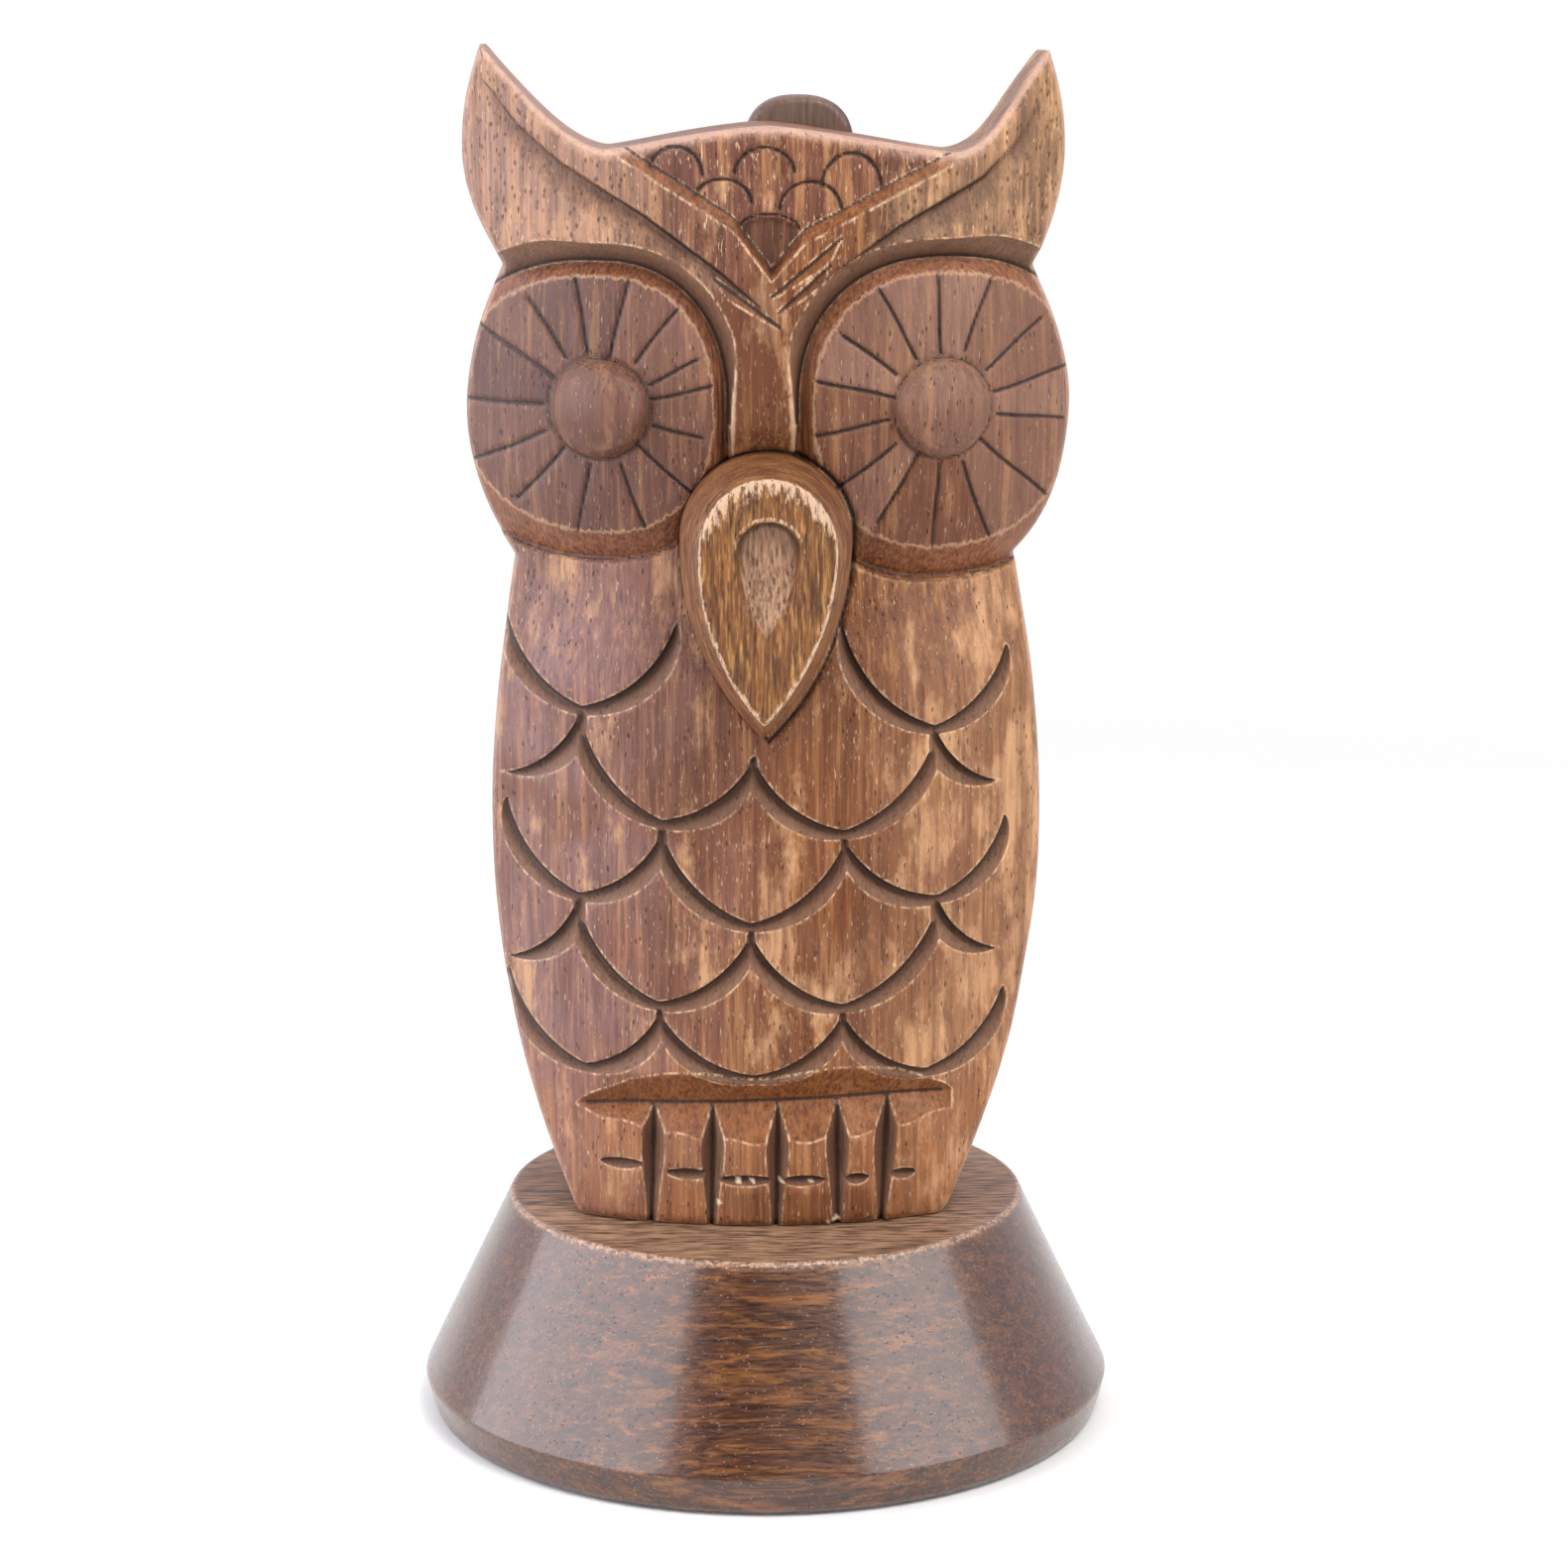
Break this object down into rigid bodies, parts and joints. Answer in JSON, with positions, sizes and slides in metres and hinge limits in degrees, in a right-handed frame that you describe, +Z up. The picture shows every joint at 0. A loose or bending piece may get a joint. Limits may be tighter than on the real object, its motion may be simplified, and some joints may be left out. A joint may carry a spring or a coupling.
{
  "type": "eyeglasses display stand",
  "caption": "Carved wooden owl on a round turned base, with a raised teardrop beak that a pair of glasses rests on.",
  "frame": {"origin": "on the table, in the middle of the round base", "axes": "+Z up; the owl looks towards -Y; +X is to the right when it is seen from the front"},
  "size_m": [0.0792, 0.0792, 0.1558],
  "materials": {
    "base_wood": "dark brown, satin lacquer",
    "pad_felt": "black felt",
    "screw_steel": "plain steel",
    "dowel_wood": "raw beech",
    "body_wood": "stained brown, waxed, light worn edges",
    "beak_wood": "stained brown, waxed, light worn rim",
    "tab_wood": "dark brown, waxed"
  },
  "bodies": {
    "root": {"base": "base_wood", "felt_pad": "pad_felt", "base_screw": "screw_steel", "body_dowels": "dowel_wood", "owl_body": "body_wood", "beak": "beak_wood", "beak_dowel": "dowel_wood", "rear_tab": "tab_wood"}
  },
  "joints": []
}
